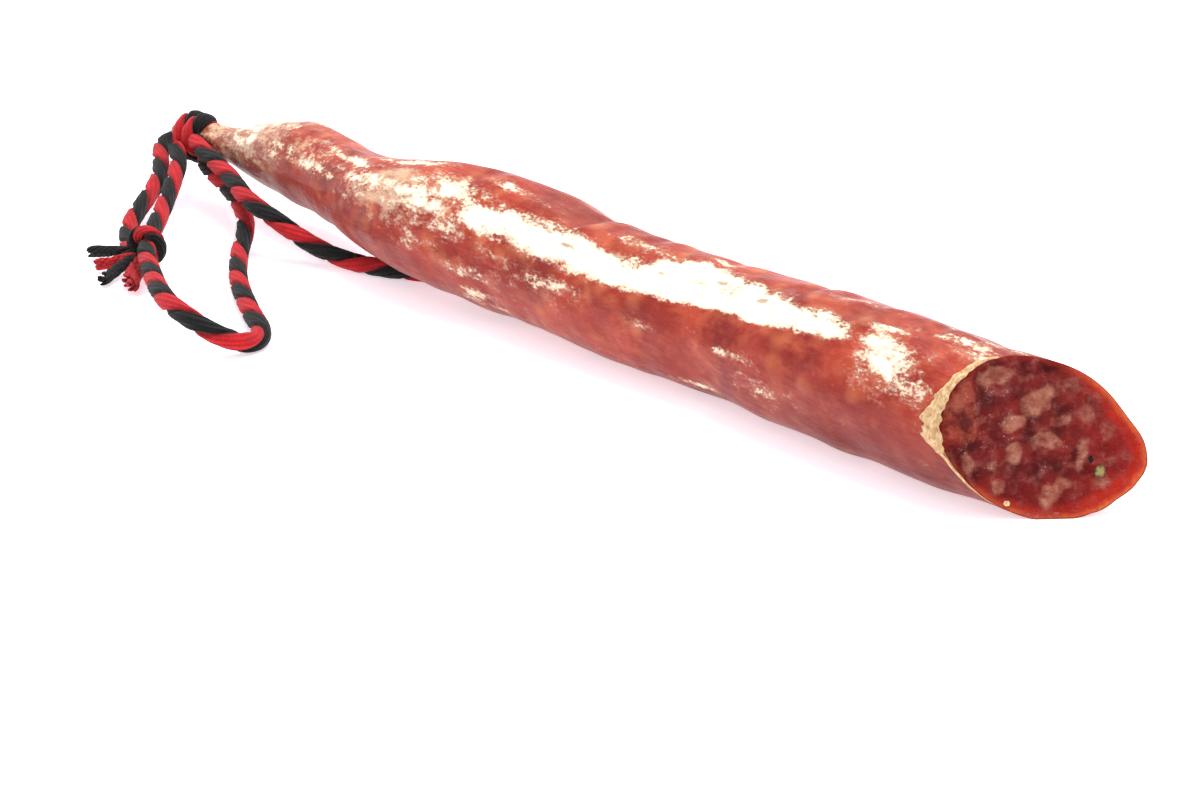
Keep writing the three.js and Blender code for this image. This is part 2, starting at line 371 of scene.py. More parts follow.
# each tail's route in millimetres, and whether it is of the red ply
PLY_TAILS = [
    ([[-119.6, -58.8, 5.2], [-124, -60.8, 5.0], [-130, -64.0, 4.4], [-135, -67.0, 3.6]], 0.0),
    ([[-119.4, -58.6, 4.4], [-121, -62.4, 3.6], [-123, -67.0, 2.6], [-124, -71.0, 2.0]], 1.0),
    ([[-118.8, -58.4, 4.0], [-117, -64.0, 3.6], [-112.8, -71.0, 2.6], [-108.4, -77.0, 1.8]], 0.0),
    ([[-118.4, -58.0, 3.8], [-114, -62.6, 2.8], [-108, -67.8, 1.9], [-102, -72.0, 1.6]], 1.0),
    ([[-118.0, -57.4, 3.6], [-111.4, -62.0, 2.6], [-103.6, -68.6, 1.8], [-96, -74.0, 1.5]], 1.0)]
TAIL_YARNS, YARN_SIDES = 9, 8
YARN, YARN_CIRCLE = 0.00068, 0.00110  # a yarn's half thickness, and the circle on which the yarns lie


def tail_yarn(line, red, number, pick):
    """One yarn of a loose ply: a tube on a small screw round the ply's line, drawing away from it near
    the tip and there rounded off. The first yarn is the line itself."""
    f = np.linspace(0, 1, len(line))
    apart_at_tip = 1 + 0.40 * np.clip((f - 0.55) / 0.45, 0, 1) ** 1.5 * pick.uniform(0.5, 1.3)
    out = (YARN_CIRCLE if number else 0.0) * apart_at_tip
    turn = 2 * np.pi * (number / 8 + 1.1 * f + 0.05 * pick.normal())
    side, top = across(line)
    centre = line + side * (out * np.cos(turn))[:, None] + top * (out * np.sin(turn))[:, None]
    keep = int(len(line) * pick.uniform(0.93, 1.0))
    centre = centre[:keep]
    side, top = across(centre)
    a = np.linspace(0, 2 * np.pi, YARN_SIDES, endpoint=False)
    girth = YARN * np.sqrt(np.clip(1 - np.linspace(-1, 1, keep) ** 8, 0.03, 1))
    ring = (centre[:, None] + side[:, None] * (girth[:, None] * np.cos(a))[..., None]
            + top[:, None] * (girth[:, None] * np.sin(a))[..., None]).reshape(-1, 3)
    wave = np.append(np.repeat(f[:keep] * 9, YARN_SIDES) + np.tile(a / 6.3, keep), [0, 0])
    points = np.vstack([ring, centre[:1], centre[-1:]])
    return points, grid(keep, YARN_SIDES, False, True), np.full(len(points), red), wave


points, faces, reds, waves, base = [], [], [], [], 0
for tail, (route, red) in enumerate(PLY_TAILS):
    pick = np.random.default_rng(40 + tail)
    line = through(np.array(route) / 1000, 0.0004)
    for number in range(TAIL_YARNS):
        yarn_points, yarn_faces, yarn_red, yarn_wave = tail_yarn(line, red, number, pick)
        points.append(yarn_points)
        faces += [block + base for block in yarn_faces]
        reds.append(yarn_red)
        waves.append(yarn_wave)
        base += len(yarn_points)
reds = np.concatenate(reds)
# painted shade: the loose yarns are darkened all over by a quarter of the ply groove's shade
frayed = shape("frayed_plies", np.vstack(points), faces, cotton.material,
               values={"red_ply": reds, "painted_ply_shade": reds * 0 + 0.25, "yarn_wave": np.concatenate(waves)})
for piece in (knot_wrap, frayed):
    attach(piece, "root")
    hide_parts("loop_knot")


# --- The sausage ---
# Coarse pork and fat in a natural casing, hung up and dried until firm, so it sways, wrinkles and thins
# to the neck; white mould has grown on the casing, and one end was sliced off on the slant.

# half thickness along the sausage, in millimetres, from the neck to the cut
GIRTH = np.array([
    [-195.0, 1.7], [-192, 2.3], [-186, 2.1], [-180, 2.4], [-172, 4.0], [-160, 6.2], [-140, 10.3],
    [-120, 12.6], [-100, 12.8], [-80, 13.0], [-60, 15.2], [-40, 17.8], [-20, 19.1], [0, 19.1],
    [20, 18.2], [50, 17.7], [80, 17.5], [110, 18.3], [140, 18.5], [170, 18.1], [210, 17.9]])
# sideways bends of the middle line: along, reach, shift; and swells: along, round, reach, spread, rise
BENDS = ((-132, 38, 3.6), (-60, 32, -6.5), (80, 20, 1.8), (204, 20, 2.0))
SWELLS = ((-116, 98, 20, 40, 0.9), (-37, 100, 22, 40, 0.8), (23, 86, 7, 34, -0.7), (40, 134, 60, 17, -0.9),
          (96, 176, 55, 30, 0.6), (104, 96, 9, 30, -0.6), (-50, 172, 34, 16, -0.8))
# furrows across: along, round, reach, spread in degrees, depth
PINCHES = ((23, 82, 3.0, 36, 1.0), (104, 96, 2.6, 40, 1.1), (-18, 88, 3.0, 30, 0.5),
           (48, 84, 2.6, 30, 0.5), (74, 90, 2.4, 26, 0.5), (128, 92, 2.6, 34, 0.5),
           (150, 84, 2.4, 30, 0.4), (60, 212, 3.0, 30, 0.4), (12, 216, 3.0, 30, 0.4))
# the slanted cut: a point on it, how it is turned and leaned, and its three directions
CUT = np.array([181.0, 4.0, 18.0])
CUT_TURN, CUT_LEAN = math.radians(33.4), math.radians(18.2)
FACING = np.array([math.cos(CUT_LEAN) * math.cos(CUT_TURN), -math.cos(CUT_LEAN) * math.sin(CUT_TURN),
                   math.sin(CUT_LEAN)])
LEVEL = np.array([math.sin(CUT_TURN), math.cos(CUT_TURN), 0])
RISING = np.cross(FACING, LEVEL)


def bell(offset, reach):
    """A smooth hump, 1 in the middle and a third of that at its reach."""
    return np.exp(-(offset / reach) ** 2)


def ease(t):
    """0 to 1 with a level start and end."""
    t = np.clip(t, 0, 1)
    return t * t * (3 - 2 * t)


def apart(degrees, middle):
    """The angle between two directions round the sausage, -180 to 180."""
    return (degrees - middle + 180) % 360 - 180


def girth_at(x):
    """The profile: a curve through the half thicknesses above."""
    fine = curve(np.vstack([GIRTH[:1], GIRTH, GIRTH[-1:]]), 4000)
    return np.interp(x, fine[:, 0], fine[:, 1])


def ripples(x, arc, seed, count, longest, shortest, stretch=1.0):
    """A sum of sine waves in random directions over the skin, about -1 to 1; stretch lengthens them in x."""
    pick = np.random.default_rng(seed)
    total = np.zeros(np.broadcast(x, arc).shape)
    for _ in range(count):
        turn, start = pick.uniform(0, 2 * np.pi, 2)
        length = math.exp(pick.uniform(math.log(shortest), math.log(longest)))
        total += np.sin(2 * np.pi * (x * math.cos(turn) / stretch + arc * math.sin(turn)) / length + start)
    return total / math.sqrt(count)


def skin(x, degrees):
    """A point of the skin, in millimetres: a round section on a middle line that sways by its bends and
    lifts off the table towards the neck. The half thickness adds swells, two sums of ripples, crosswise
    pinches with a swelling behind each, a collar at the neck and fine lengthwise wrinkles."""
    radians = np.radians(degrees)
    girth = girth_at(x)
    y = 1.9 + sum(shift * bell(x - at, reach) for at, reach, shift in BENDS)
    risen = ease((40 - x) / 85)
    z = (1 - risen) * (girth - 0.45) + risen * (21.5 - 2.2 * ease((-116 - x) / 75))
    full = girth + sum(rise * bell(x - at, reach) * bell(apart(degrees, turn), spread)
                       for at, turn, reach, spread, rise in SWELLS)
    around = np.round(np.cos(radians), 6)
    drier = np.clip((girth - 3) / 10, 0, 1)
    full = full + drier * (0.24 * ripples(x, 14 * around + 9 * np.sin(2 * radians), 5, 10, 34, 14, 1.6)
                           + 0.16 * ripples(x, 15 * around + 15 * np.sin(radians), 6, 14, 13, 6, 1.8))
    for at, turn, reach, spread, deep in PINCHES:
        slant = x - at + 0.06 * apart(degrees, turn)
        furrow = bell(slant, reach) - 0.45 * bell(slant - 2.4 * reach, 1.6 * reach)
        full = full - deep * furrow * bell(apart(degrees, turn), spread)
    collar = bell(x + 171.5, 5.5)
    full = full + collar * (1.5 * bell(apart(degrees, 95), 55) + 0.35 * np.cos(np.radians(7 * degrees)) + 0.5)
    lengthwise = ripples(x, 15 * around + 15 * np.sin(radians), 8, 10, 9, 4, 5.0)
    full = full - 0.16 * drier * np.maximum(0, lengthwise - 0.5)
    z = np.maximum(z + full * np.sin(radians), 0)
    return np.stack(np.broadcast_arrays(x, y + full * np.cos(radians), z), -1)


# the grid of the skin, its last row moved along until it lies on the slanted cut
COLUMNS, ROWS = 216, 400
NECK_END, CUT_MIDDLE, SLANT_FROM = -196, 181, 110
degrees = np.arange(COLUMNS) * 360 / COLUMNS
cut_x = np.full(COLUMNS, float(CUT_MIDDLE))
for _ in range(12):
    miss = (skin(cut_x, degrees) - CUT) @ FACING
    cut_x = cut_x - miss / FACING[0] * 0.9
cut_x = cut_x + 2.5 * bell(apart(degrees, 334), 30) + 1.5 * bell(apart(degrees, 22), 26)
cut_x = cut_x - 0.8 * bell(apart(degrees, 80), 40) + 0.35 * np.cos(np.radians(5 * degrees + 40))
base_x = np.linspace(NECK_END, CUT_MIDDLE, ROWS)
slanting = ease((base_x - SLANT_FROM) / (CUT_MIDDLE - SLANT_FROM))
x = base_x[:, None] + (cut_x - CUT_MIDDLE)[None, :] * slanting[:, None]
hull = skin(x, degrees[None, :])
rim = hull[-1]

# the face: rings from the rim to its middle, domed a little, rough where the knife dragged the meat
middle = CUT - LEVEL * 0.2 + RISING * 0.6
inward = np.linspace(0, 1, 46)[1:-1]
face = rim[None] + (middle - rim)[None] * inward[:, None, None]
from_rim = np.linalg.norm(face - rim[None], axis=2)
across_face = (face - CUT) @ LEVEL
up_face = (face - CUT) @ RISING
rough = 0.22 * ripples(across_face, up_face, 11, 14, 9, 3)
rough = rough + 0.10 * ripples(across_face, up_face, 12, 14, 3, 1.4)
ledge = ease((-across_face - 15.2 + 0.4 * np.sin(up_face * 0.9)) / 2.2) * ease((up_face + 3.0) / 5.0)
bulge = 0.7 * (1 - (from_rim / 20 - 1) ** 2) - 0.9
face = face + FACING * ((rough + bulge * 0.6 + 1.7 * ledge - 0.5) * ease(from_rim / 2.0))[..., None]
face[..., 2] = np.maximum(face[..., 2], 0.02)
tip = hull[0].mean(0)
heart = face[-1].mean(0)

points = np.vstack([hull.reshape(-1, 3), face.reshape(-1, 3), tip, heart]) / 1000
faces = grid(ROWS + len(inward), COLUMNS, False, True)
faces = [block[:, ::-1] for block in faces]

# the thick band of mould along the upper near side, between an upper and a lower edge in degrees
theta = np.broadcast_to(degrees[None, :], x.shape)
upper = np.interp(x, [-22, -14, 0, 13, 26, 40, 53, 60, 70, 85, 100, 111, 120, 130],
                  [138, 131, 125, 120, 117, 122, 121, 108, 96, 105, 108, 117, 115, 122])
lower = np.interp(x, [-22, -14, 0, 16, 27, 44, 59, 80, 95, 110, 124, 132],
                  [142, 154, 152, 152, 149, 152, 149, 144, 142, 141, 138, 134])
from_upper, from_lower = theta - upper, lower - theta
near_end = np.clip((x + 22) / 10, 0, 1) * np.clip((134 - x) / 5, 0, 1)
mould = np.clip(0.62 + np.minimum(from_upper / 17, from_lower / np.where(x > 40, 8, 16)), 0, 1.12) * near_end


def patch(at, turn, reach, spread, amount):
    """A round or long spot on the skin that fades to its edge."""
    return amount * bell(x - at, reach) * bell(apart(theta, turn), spread)


# smaller patches: middle along and round, reach along and round, how thick the mould grows
PATCHES = (
    (147, 140, 10, 25, 0.90), (154, 150, 8, 12, 0.88), (139, 112, 9, 8, 0.68), (142, 126, 9, 12, 0.82),
    (94, 173, 11, 6, 0.76), (62, 176, 8, 7, 0.58), (106, 192, 16, 10, 0.50), (28, 166, 14, 7, 0.62),
    (4, 166, 12, 7, 0.66), (-6, 212, 10, 9, 0.76), (-8, 190, 12, 12, 0.62), (-32, 180, 14, 10, 0.56),
    (20, 172, 18, 12, 0.61), (-4, 222, 14, 6, 0.66), (80, 219, 11, 5, 0.95), (48, 103, 16, 8, 0.72),
    (74, 108, 12, 14, 0.85), (73, 88, 7, 6, 0.70), (160, 96, 14, 10, 0.76), (165, 108, 7, 8, 0.80),
    (122, 88, 16, 8, 0.62), (168, 82, 13, 6, 0.84), (150, 76, 15, 5, 0.72), (104, 110, 1.8, 15, 0.92),
    (-150, 112, 16, 22, 0.92), (-70, 160, 12, 7, 0.70), (-88, 146, 12, 9, 0.66),
    (-128, 104, 14, 10, 0.80), (-36, 140, 24, 22, 1.02), (-22, 126, 14, 20, 0.92),
    (-58, 152, 20, 12, 0.66), (-20, 160, 14, 10, 0.72), (-62, 134, 20, 20, 0.86),
    (-78, 112, 22, 9, 1.00), (-48, 97, 16, 8, 0.95), (-100, 128, 18, 16, 0.66),
    (-148, 138, 20, 36, 0.86), (-122, 146, 18, 20, 0.84), (-104, 150, 14, 12, 0.66),
    (-160, 125, 9, 50, 0.62), (-8, 104, 18, 8, 0.62), (-38, 168, 16, 10, 0.52),
    (-120, 40, 40, 50, 0.62), (-40, 30, 34, 30, 0.80), (22, 48, 30, 14, 0.74), (70, 10, 34, 26, 0.80),
    (138, 40, 22, 22, 0.72), (10, 300, 90, 30, 0.55), (-90, 320, 40, 30, 0.68),
    (110, 330, 30, 20, 0.70))
for spot in PATCHES:
    mould = np.maximum(mould, patch(*spot))

# rubbed spots in the band, cream growth, the torn edge at the cut, casing darker in random blotches or amber, and
# painted shade that darkens the lower side and the neck's underside
bare = 0.0
for at, turn in ((26, 131), (44, 122), (74, 120), (82, 118), (98, 122), (16, 126), (61, 124)):
    bare = np.maximum(bare, bell(x - at, 3.2) * bell(apart(theta, turn), 3.4))
cream = np.maximum(patch(-44, 138, 34, 36, 0.95), patch(-105, 130, 30, 40, 0.55))
cream = np.maximum(patch(-148, 135, 32, 60, 1.15), cream)
torn = np.exp(-np.clip(cut_x[None, :] - x, 0, 99) / 0.9) * ease((theta - 96) / 8) * ease((244 - theta) / 20)
# painted shade: the lower side is painted darker, most under the neck and near the cut, where less light falls
dark = np.maximum(patch(-150, 226, 45, 58, 1.25), patch(-80, 215, 60, 40, 0.5))
dark = np.maximum(dark, np.maximum(0.50 * bell(apart(theta, 240), 55), patch(150, 214, 70, 40, 0.95)))
# the neck's pale grain is kept off its underside, so the painted shade there stays dark
neck_grain = ease((-108 - x) / 30) * (1 - 0.80 * bell(apart(theta, 232), 46))
# darker casing in random blotches all over
dark = np.maximum(dark, 0.55 * ease((ripples(x, theta * 0.31, 21, 8, 60, 24, 1.5) - 0.5)))
amber = np.maximum(patch(-179, 120, 7, 200, 1.0), patch(-169, 95, 4, 60, 0.9))
off_face = np.zeros(face.shape[:2])
off_skin = np.zeros(x.shape)


def whole(skin_values, face_values, tip_value=0.0, heart_value=0.0):
    """One value for each point, in the order of the points: skin, face, tip, heart."""
    return np.concatenate([np.ravel(skin_values), np.ravel(face_values), [tip_value, heart_value]])


# lumps of back fat on the face: middle across and up, half lengths, turn in degrees, how pale
FAT = ((-10.8, 14.3, 4.6, 2.0, 8, 1.0), (-1.2, 8.2, 4.4, 2.6, 38, 1.0), (-7.2, 3.2, 3.0, 1.7, 12, 0.8),
       (0.3, -0.9, 3.4, 1.6, -4, 0.8), (-7.4, -3.4, 2.2, 2.4, 70, 0.9), (-18.2, -5.6, 1.5, 2.5, 18, 0.8),
       (-11.3, -10.9, 2.0, 1.6, -20, 0.85), (2.0, -12.6, 3.8, 2.2, 42, 1.0), (8.4, -4.2, 1.3, 4.0, -8, 0.7),
       (4.0, 3.6, 2.6, 1.5, 30, 0.45), (-15.0, 4.4, 1.8, 1.1, 60, 0.4), (9.6, 5.2, 1.6, 2.4, 10, 0.35),
       (15.0, -6.0, 1.5, 1.0, 0, 0.4), (-12.6, -6.4, 1.6, 1.1, 20, 0.45), (6.4, 12.0, 2.2, 1.2, -30, 0.35),
       (14.4, 0.4, 1.2, 2.4, -20, 0.3), (-3.8, 13.4, 1.6, 1.0, 0, 0.4), (12.4, -11.2, 2.0, 1.2, 30, 0.45))
wobble_a = 0.5 * ripples(across_face, up_face, 31, 10, 7, 2.5)
wobble_b = 0.5 * ripples(across_face, up_face, 32, 10, 7, 2.5)
fat = np.zeros_like(across_face)
for at, high, long, short, turn, pale in FAT:
    c, s = math.cos(math.radians(turn)), math.sin(math.radians(turn))
    a, b = across_face + wobble_a - at, up_face + wobble_b - high
    far = np.hypot((a * c + b * s) / long, (b * c - a * s) / short)
    fat = np.maximum(fat, pale * ease((1.25 - far) / 0.5))
wine = 0.5 + 0.35 * ripples(across_face, up_face, 33, 12, 16, 5)
redder = ease((across_face - 2) / 16) * 0.8 + ease((-up_face - 8) / 8) * 0.5

values = {
    "ledge": whole(off_skin, ledge),
    "mould": whole(mould, off_face),
    "cream": whole(cream, off_face, 0.5),
    "dark": whole(dark, off_face),
    "amber": whole(amber, off_face),
    "neck_grain": whole(neck_grain, off_face),
    "bare": whole(bare, off_face),
    "torn": whole(torn, off_face),
    "from_rim": whole(off_skin, from_rim, 0.0, 20.0),
    "fat": whole(off_skin, fat, 0.0, float(fat[-1].mean())),
    "wine": whole(off_skin, np.clip(wine, 0, 1), 0.0, 0.5),
    "redder": whole(off_skin, np.clip(redder, 0, 1), 0.0, 0.2)}

rind = Finish("casing_with_mould", Subsurface_Weight=0.08, Subsurface_Radius=(0.6, 0.2, 0.1),
              Subsurface_Scale=0.003, Specular_IOR_Level=0.12, Coat_Roughness=0.2)
# the casing: brick red in blotches, with fat showing through as orange spots, amber places, darker places at
# random, and painted shade on its lower side
where = rind.place()
blotch = rind.noise(where, 60.0, 4.0, 0.6)
fleck = rind.noise(rind.place((0.55, 1, 1)), 300.0, 4.0, 0.62)
grit = rind.noise(rind.place((0.6, 1, 1)), 1300.0, 3.0, 0.6)
crease = rind.noise(rind.place((0.30, 1, 1)), 420.0, 4.0, 0.6)
brick = rind.blend(blotch.step(0.32, 0.68), (0.200, 0.012, 0.008, 1), (0.450, 0.052, 0.024, 1))
mottle = rind.noise(rind.place((0.8, 1, 1)), 170.0, 4.0, 0.6)
brick = rind.blend(mottle.step(0.48, 0.70) * 0.55, brick, (0.54, 0.110, 0.048, 1))
fat_spot = rind.node("TexVoronoi", {"feature": "SMOOTH_F1"}, "Distance", Vector=where, Scale=150.0,
                     Smoothness=0.5)
spots = (1 - fat_spot.step(0.15, 0.55)) * rind.noise(where, 80.0, 2.0).step(0.45, 0.66)
brick = rind.blend(spots * 0.75, brick, (0.62, 0.190, 0.075, 1))
# painted shade on the lower side, together with the random darker places
brick = rind.blend(rind.attribute("dark") * (0.4 + blotch * 0.6), brick, (0.110, 0.016, 0.018, 1))
brick = rind.blend(rind.attribute("amber"), brick, (0.50, 0.19, 0.045, 1))
brick = rind.blend(crease.step(0.56, 0.72) * 0.16, brick, (0.46, 0.12, 0.07, 1))
# the mould: where it grows, broken by fine veins, and the cream veil round it
growth = rind.attribute("mould") + (blotch - 0.5) * 0.9 + (fleck - 0.5) * 1.6 + (grit - 0.5) * 1.1
vein = rind.node("TexVoronoi", {"feature": "DISTANCE_TO_EDGE"}, "Distance", Scale=230.0,
                 Vector=rind.place((0.55, 1, 1)))
growth = growth - (1 - vein.step(0.0, 0.16)) * rind.attribute("cream") * crease.step(0.36, 0.56) * 0.55
veil = rind.attribute("cream") + (fleck - 0.5) * 1.6 + (crease - 0.5) * 0.9 + (grit - 0.5) * 0.6
veiled = rind.blend(veil.step(0.48, 0.92) * 0.80, brick, (0.70, 0.47, 0.30, 1))
# the neck's grainy skin, then the mould over all
grain = ((fleck - 0.5) * 2.0 + (grit - 0.5) * 1.2 + (blotch - 0.5) + 0.5).step(0.30, 0.72)
neck_skin = rind.blend(grain, (0.34, 0.095, 0.062, 1), (0.74, 0.53, 0.35, 1))
veiled = rind.blend(rind.attribute("neck_grain") * 0.72, veiled, neck_skin)
veiled = rind.blend(growth.step(0.32, 0.62) * 0.40, veiled, (0.64, 0.34, 0.25, 1))
mould_tone = rind.blend(growth.step(0.62, 1.00), (0.76, 0.57, 0.38, 1), (0.89, 0.83, 0.68, 1))
bared = (rind.attribute("bare") + (fleck - 0.5) * 2.6 + (grit - 0.5) * 0.8).step(0.50, 0.90)
mould_tone = rind.blend(bared * 0.75, mould_tone, (0.40, 0.20, 0.10, 1))
cover = growth.step(0.53, 0.68)
colour = rind.blend(cover * (0.72 + growth.step(0.6, 0.9) * 0.28), veiled, mould_tone)
torn_edge = (rind.attribute("torn") + (grit - 0.5) * 0.8).step(0.35, 0.6)
colour = rind.blend(torn_edge, colour, (0.66, 0.42, 0.20, 1))
wrinkle = rind.noise(rind.place((0.42, 1, 1)), 170.0, 3.0, 0.55)
height = wrinkle * 0.9 + crease * 0.45 + fleck * 0.30 + cover * (0.06 + grit * 0.20)
bumped = rind.node("Bump", None, 0, Strength=0.85, Distance=0.0013, Height=height)
rind.feed(Base_Color=colour, Roughness=0.27 + crease * 0.22 + cover * 0.40, Normal=bumped,
          Coat_Weight=(1 - cover) * 0.16)

# the cut: wine-red lean between lumps of back fat, glassy red under the casing where it dried most
meat = Finish("cut_meat", Subsurface_Weight=0.12, Subsurface_Radius=(0.8, 0.15, 0.08),
              Subsurface_Scale=0.003, Specular_IOR_Level=0.12, Coat_Roughness=0.06)
where = meat.place()
fleck = meat.noise(where, 300.0, 4.0, 0.62)
fibre = meat.noise(meat.place((1, 1, 1.8)), 700.0, 4.0, 0.68)
lobe = meat.node("TexVoronoi", {"feature": "DISTANCE_TO_EDGE"}, "Distance", Vector=where, Scale=230.0)
lean = meat.blend(meat.attribute("wine") + (fleck - 0.5) * 1.8,
                  (0.080, 0.0050, 0.0050, 1), (0.250, 0.017, 0.014, 1))
lean = meat.blend(meat.attribute("redder") * (0.35 + fleck * 0.7), lean, (0.36, 0.013, 0.009, 1))
lean = meat.blend((1 - lobe.step(0.02, 0.16)) * fleck.step(0.42, 0.62) * 0.45, lean, (0.30, 0.085, 0.062, 1))
lean = meat.blend(fibre.step(0.54, 0.76) * 0.32, lean, (0.33, 0.095, 0.070, 1))
# the fat
fat_edge = (meat.attribute("fat") + (fleck - 0.5) * 0.9 + (fibre - 0.5) * 0.4).step(0.05, 1.05)
fat_tone = meat.blend(fleck.step(0.35, 0.68), (0.38, 0.105, 0.064, 1), (0.62, 0.270, 0.175, 1))
face_colour = meat.blend(fat_edge * (0.62 + fibre * 0.40), lean, fat_tone)
# the glassy rim, and the lip of meat that the knife pushed up
near = meat.attribute("from_rim") + (fleck - 0.5) * 3.4
rim_wide = 1.1 + meat.attribute("redder") * 4.4
glow = (1 - near.math("DIVIDE", near, rim_wide, clamp=True)) ** 0.6 * (0.30 + meat.attribute("redder"))
lip = (meat.attribute("ledge") + (fleck - 0.5) * 0.8).step(0.25, 0.80)
face_colour = meat.blend(lip * (0.10 + fleck.step(0.38, 0.66) * 0.75), face_colour, (0.43, 0.085, 0.045, 1))
streak = meat.noise(meat.place((1, 1, 0.7)), 420.0, 3.0, 0.6).step(0.40, 0.66)
face_colour = meat.blend(glow.step(0.0, 1.0) * (1 - streak * 0.45), face_colour, (0.58, 0.030, 0.012, 1))
dry_edge = (1 - near.step(0.1, 1.6)) * meat.attribute("redder") * 0.8
face_colour = meat.blend(dry_edge, face_colour, (0.74, 0.22, 0.06, 1))
bumped = meat.node("Bump", None, 0, Strength=0.9, Distance=0.0018,
                   Height=fibre * 0.8 + fleck * 0.5 + fat_edge * 0.25)
# painted highlight: pale specks in the base colour stand in for glints of light on the wet meat
painted_glint = meat.noise(where, 2400.0, 2.0, 0.5) - 0.5 + (fibre - 0.5) * 0.5 + (fleck - 0.5) * 0.6
painted_glint = painted_glint.step(0.215, 0.260)
painted_glint = painted_glint * meat.noise(where, 120.0, 2.0).step(0.46, 0.58) * (1 - meat.attribute("redder"))
face_colour = meat.blend(painted_glint * 0.60, face_colour, (0.80, 0.50, 0.42, 1))
meat.feed(Base_Color=face_colour, Roughness=0.20 + fibre * 0.30, Normal=bumped,
          Coat_Weight=fleck.step(0.50, 0.68) * 0.35)

sausage = shape("sausage_with_rind", points, faces, rind.material, values=values)
sausage.data.materials.append(meat.material)
laid_open = np.zeros(sum(map(len, faces)), np.int32)
laid_open[(ROWS - 1) * COLUMNS:(ROWS + len(inward) - 1) * COLUMNS] = 1
laid_open[-COLUMNS:] = 1
sausage.data.polygons.foreach_set("material_index", laid_open)
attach(sausage, "root")
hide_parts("sausage")

# --- The peeled strip of casing ---
# Where the knife came through, the dry casing lifted off the meat and curled back along the cut's near
# side: a thin, stiff, crumpled strip of bare gut, tan and papery, still joined to the skin behind it.

# its width in millimetres, by the angle round the cut
STRIP_TURN = [100, 110, 120, 132, 146, 158, 168, 178, 188, 200, 214]
STRIP_WIDTH = [0.5, 1.0, 1.7, 2.1, 2.6, 4.4, 7.2, 6.0, 2.3, 1.0, 0.4]
turn = np.linspace(100, 214, 150)[:, None]
back = np.linspace(-0.10, 1, 26)[None, :]
ragged = 1 + 0.17 * ripples(turn, turn * 0, 51, 8, 34, 12) + 0.07 * ripples(turn, turn * 0, 54, 8, 7, 3)
strip_width = np.interp(turn, STRIP_TURN, STRIP_WIDTH) * ragged
edge_x = np.interp(turn, degrees, cut_x)
strip_x = edge_x + 0.35 - back * strip_width
on_skin = skin(strip_x, np.broadcast_to(turn, strip_x.shape))
round_it = np.radians(turn + 0 * back)
outward = np.stack([np.zeros(strip_x.shape), np.cos(round_it), np.sin(round_it)], -1)
curl = np.sin(np.pi * np.clip(0.30 + 0.70 * back, 0, 1)) ** 1.5
lift = 0.22 + 0.9 * np.clip(strip_width / 6, 0, 1) * curl
crumple = ripples(strip_x, turn * 0.31, 52, 14, 5, 1.6) * (1 - 0.7 * back)
lift = lift + 0.66 * np.clip(strip_width / 5, 0, 1) * crumple
strip_points = (on_skin + outward * np.maximum(lift, 0.12)[..., None]).reshape(-1, 3) / 1000
rows, columns = strip_x.shape
r, c = np.arange(rows - 1)[:, None], np.arange(columns - 1)[None, :]
here = r * columns + c
strip_faces = np.stack([here, here + 1, here + columns + 1, here + columns], -1).reshape(-1, 4)
gut = Finish("dry_gut", Roughness=0.55, Specular_IOR_Level=0.35, Subsurface_Weight=0.1,
             Subsurface_Radius=(0.6, 0.4, 0.2), Subsurface_Scale=0.002)
pleat = gut.noise(gut.place((1, 1, 0.5)), 900.0, 4.0, 0.65)
tan = gut.blend(pleat.step(0.34, 0.66), (0.44, 0.22, 0.085, 1), (0.80, 0.58, 0.31, 1))
gut.feed(Base_Color=tan, Normal=gut.node("Bump", None, 0, Strength=0.9, Distance=0.0008, Height=pleat))
strip = shape("peeled_casing", strip_points, [strip_faces], gut.material)
strip.modifiers.new("thickness", "SOLIDIFY").thickness = 0.00022
strip.modifiers["thickness"].offset = 1.0

# --- The peppercorn, its shard and a crumb ---
# A cut peppercorn sits in the meat, pale green-yellow inside its dark husk, with a black shard beside it;
# a dry crumb of bread-coloured gut clings to the bottom of the cut.
PELLET_SIDES, PELLET_RINGS = 40, 22


def pellet(name, across_at, up_at, sizes, sunk, material, seed):
    """A lumpy ball on the cut face: two angles on a grid, its radius rippled, sunk into the meat."""
    a = np.linspace(0, 2 * np.pi, PELLET_SIDES, endpoint=False)[None, :]
    b = np.linspace(0.06, np.pi - 0.06, PELLET_RINGS)[:, None]
    lumpy = 1 + 0.13 * ripples(a * 2 + 0 * b, b * 4 + 0 * a, seed, 6, 4, 2) * np.sin(b)
    seat = CUT + LEVEL * across_at + RISING * up_at - FACING * sunk
    body = (LEVEL * (sizes[0] * lumpy * np.sin(b) * np.cos(a))[..., None]
            + RISING * (sizes[1] * lumpy * np.sin(b) * np.sin(a))[..., None]
            + FACING * (sizes[2] * lumpy * np.cos(b) + 0 * a)[..., None])
    core = np.broadcast_to(np.sin(b) * (np.cos(b) > 0), lumpy.shape).ravel()
    ends = np.array([seat + FACING * sizes[2], seat - FACING * sizes[2]])
    every = np.vstack([(seat + body).reshape(-1, 3), ends]) / 1000
    return shape(name, every, grid(PELLET_RINGS, PELLET_SIDES, False, True), material,
                 values={"husk": np.append(core, [0, 1])})


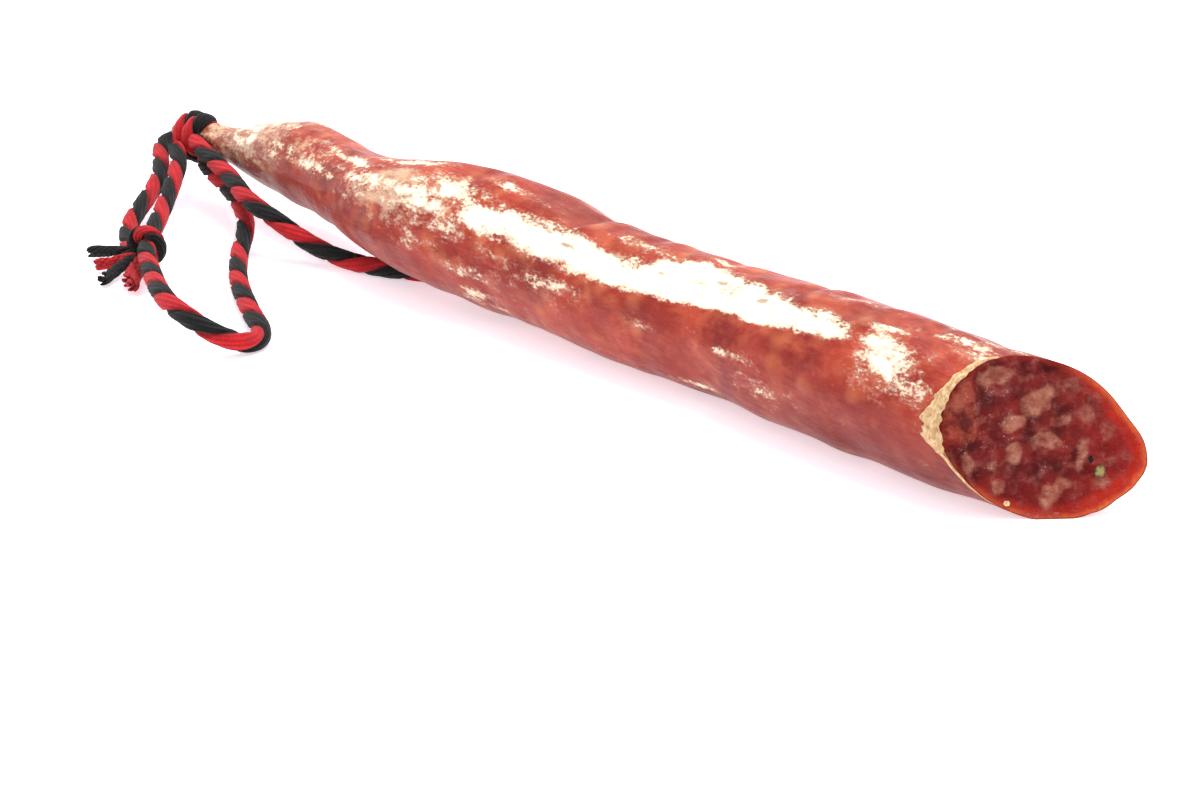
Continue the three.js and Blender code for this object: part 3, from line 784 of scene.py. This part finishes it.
corn = Finish("cut_peppercorn", Roughness=0.42)
husk = (corn.attribute("husk") + (corn.noise(corn.place(), 1100.0) - 0.5) * 1.5).step(0.50, 0.86)
corn.feed(Base_Color=corn.blend(husk * 0.9, (0.30, 0.21, 0.055, 1), (0.030, 0.028, 0.012, 1)))
shard_finish = Finish("pepper_husk", Base_Color=(0.012, 0.009, 0.007, 1), Roughness=0.75,
                      Specular_IOR_Level=0.15)
crumb_finish = Finish("dry_crumb", Roughness=0.8)
crust = crumb_finish.noise(crumb_finish.place(), 1800.0).step(0.35, 0.65)
crumb_finish.feed(Base_Color=crumb_finish.blend(crust, (0.50, 0.30, 0.12, 1), (0.78, 0.58, 0.32, 1)))
small = [pellet("peppercorn", 12.6, -8.4, (1.45, 1.6, 0.9), 0.25, corn.material, 61),
         pellet("pepper_shard", 10.5, -5.5, (0.62, 1.00, 0.5), -0.10, shard_finish.material, 62),
         pellet("crumb", -9.6, -14.9, (0.75, 0.6, 0.55), -0.15, crumb_finish.material, 63)]
for piece in [strip] + small:
    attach(piece, "root")

# --- The cotton's fuzz ---
# Short fibres stand off the spun cotton all along the cord, as they do on any cord that isn't waxed.
# Each is a fine spike set on the cord's side, in the colour of the ply that it comes out of.
FIBRE_FOOT = 0.000055


def fuzz(path, count, seed, start):
    """Spikes with a three-cornered foot: places along and round the path, leaned at random, each with the
    dye of the ply that it stands on."""
    pick = np.random.default_rng(seed)
    side, top = across(path)
    i = pick.integers(2, len(path) - 2, count)
    a = pick.uniform(0, 2 * np.pi, count)
    out = side[i] * np.cos(a)[:, None] + top[i] * np.sin(a)[:, None]
    foot = path[i] + out * (CORD / 2 * 0.96)
    lean = out + 0.9 * pick.normal(size=(count, 3))
    lean /= np.linalg.norm(lean, axis=1)[:, None]
    tip = foot + lean * pick.uniform(0.0004, 0.0012, count)[:, None]
    tip[:, 2] = np.maximum(tip[:, 2], 0.00005)
    e = np.cross(lean, out + 1e-3)
    e /= np.linalg.norm(e, axis=1)[:, None]
    g = np.cross(lean, e)
    w = FIBRE_FOOT
    corners = np.stack([foot + e * w, foot - e * w / 2 + g * w * 0.87,
                        foot - e * w / 2 - g * w * 0.87, tip], 1)
    k = 4 * np.arange(count)[:, None]
    tri = np.stack([k + [0, 1, 3], k + [1, 2, 3], k + [2, 0, 3], k + [0, 2, 1]], 1).reshape(-1, 3)
    run = np.concatenate([[0], np.cumsum(np.linalg.norm(np.diff(path, axis=0), axis=1))])
    dye = (((a / (2 * np.pi) - run[i] / PITCH + start) % 1) < 0.5) * 1.0
    return corners.reshape(-1, 3), tri, np.repeat(dye, 4)


hairs = [fuzz(loop_path, 2600, 71, LOOP_START), fuzz(knot_path, 900, 72, KNOT_START),
         fuzz(belly_path, 1000, 73, BELLY_START)]
fluff_points = np.vstack([h[0] for h in hairs])
starts = np.cumsum([0] + [len(h[0]) for h in hairs[:-1]])
fluff_faces = np.vstack([h[1] + at for h, at in zip(hairs, starts)])
fuzz_finish = Finish("cotton_fuzz", Roughness=0.95, Specular_IOR_Level=0.2)
fuzz_finish.feed(Base_Color=fuzz_finish.blend(fuzz_finish.attribute("red_ply").step(0.42, 0.58),
                                              (0.020, 0.020, 0.020, 1), (0.50, 0.022, 0.028, 1)))
cord_fuzz = shape("cord_fuzz", fluff_points, [fluff_faces], fuzz_finish.material, smooth=False,
                  values={"red_ply": np.concatenate([h[2] for h in hairs])})
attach(cord_fuzz, "root")
